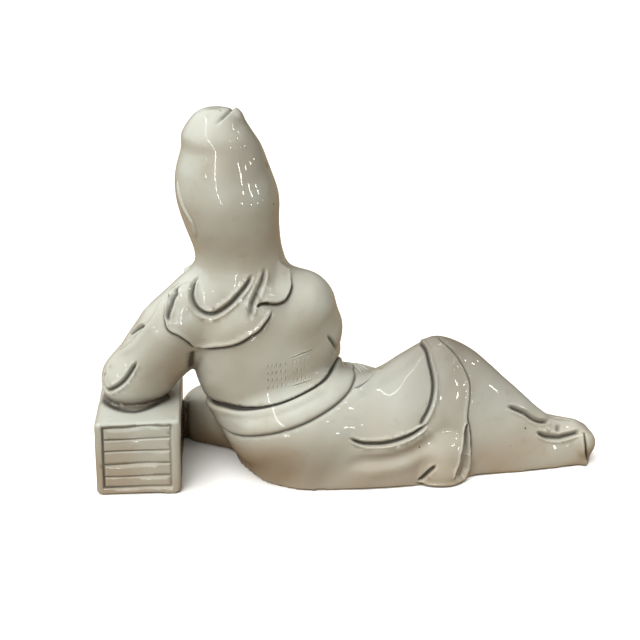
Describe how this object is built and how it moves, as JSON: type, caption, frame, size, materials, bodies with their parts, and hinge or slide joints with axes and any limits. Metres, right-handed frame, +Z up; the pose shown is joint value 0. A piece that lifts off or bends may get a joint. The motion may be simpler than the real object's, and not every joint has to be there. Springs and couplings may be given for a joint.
{
  "type": "reclining guanyin statue",
  "caption": "Reclining hooded figure in glazed porcelain, resting one elbow on a slatted box, with one knee raised; stands on its flat underside as an ornament.",
  "frame": {"origin": "middle of the bounding box in plan, on the ground under the statue", "axes": "+X along the body from the box to the foot, +Y the way the figure faces, +Z up"},
  "size_m": [0.3932, 0.1513, 0.2815],
  "materials": {
    "glaze": "glossy warm grey-white glaze, pooled darker in the carved lines"
  },
  "bodies": {
    "root": {"guanyin_statue": "glaze"}
  },
  "joints": []
}
